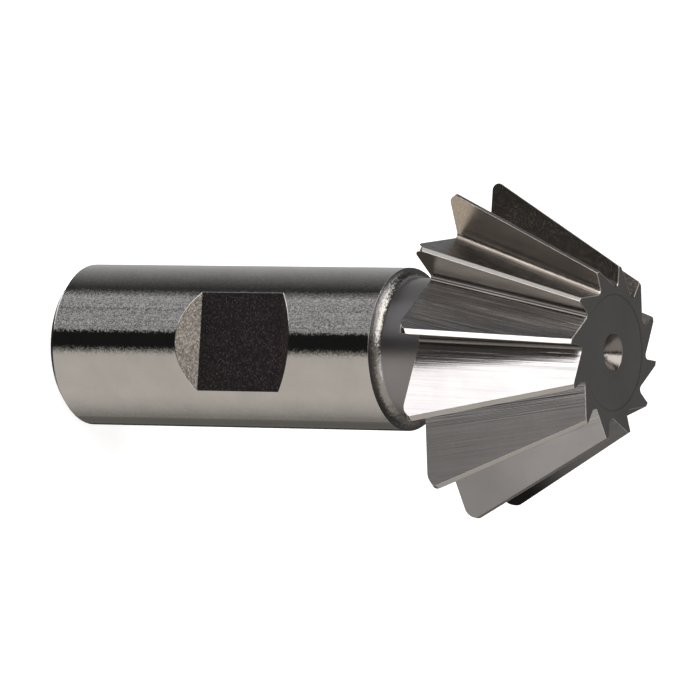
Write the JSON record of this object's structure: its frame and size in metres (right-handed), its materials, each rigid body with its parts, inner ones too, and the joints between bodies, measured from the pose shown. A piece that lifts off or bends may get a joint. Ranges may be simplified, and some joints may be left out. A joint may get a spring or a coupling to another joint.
{
  "type": "chamfer milling cutter",
  "caption": "Conical milling cutter with straight teeth on a plain cylindrical shank that has a driving flat; it cuts chamfers along edges.",
  "frame": {"origin": "centre of the shank's end face, on which the cutter stands", "axes": "+Z along the cutter's axis, from the shank's end to the toothed end; the driving flat on the shank faces -Y; the cutter turns towards +Y from +X when it cuts"},
  "size_m": [0.039, 0.039, 0.0715],
  "materials": {
    "high_speed_steel": "hardened and ground, bare metal"
  },
  "bodies": {
    "root": {"cutter": "high_speed_steel"}
  },
  "joints": []
}
